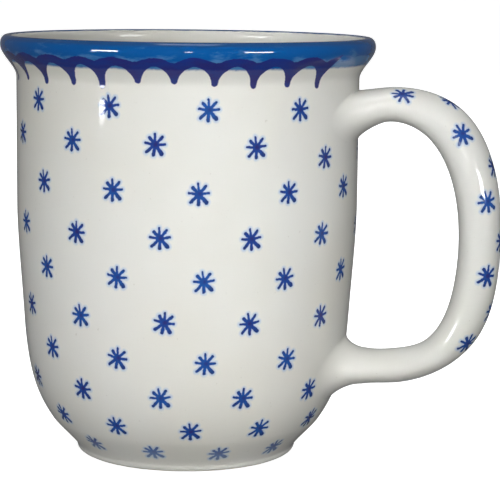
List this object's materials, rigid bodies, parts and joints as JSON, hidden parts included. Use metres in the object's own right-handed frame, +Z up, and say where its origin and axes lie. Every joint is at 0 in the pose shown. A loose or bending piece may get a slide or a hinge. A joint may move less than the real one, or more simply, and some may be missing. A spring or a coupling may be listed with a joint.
{
  "type": "mug",
  "caption": "Stoneware mug with a round belly, a flared lip, a foot ring and a looped side handle luted to the wall.",
  "frame": {"origin": "centre of the foot ring's resting plane", "axes": "+Z up out of the open mouth, +X from the body's axis towards the handle"},
  "size_m": [0.1211, 0.09, 0.1008],
  "materials": {
    "glazed_body": "clear gloss glaze over off-white stoneware, cobalt stamped stars and a cobalt lip band",
    "glazed_handle": "clear gloss glaze over off-white stoneware, cobalt stamped stars",
    "fired_slip": "matt fired slip"
  },
  "bodies": {
    "root": {"mug_body": "glazed_body", "handle": "glazed_handle", "upper_slip_bed": "fired_slip", "lower_slip_bed": "fired_slip"}
  },
  "joints": []
}
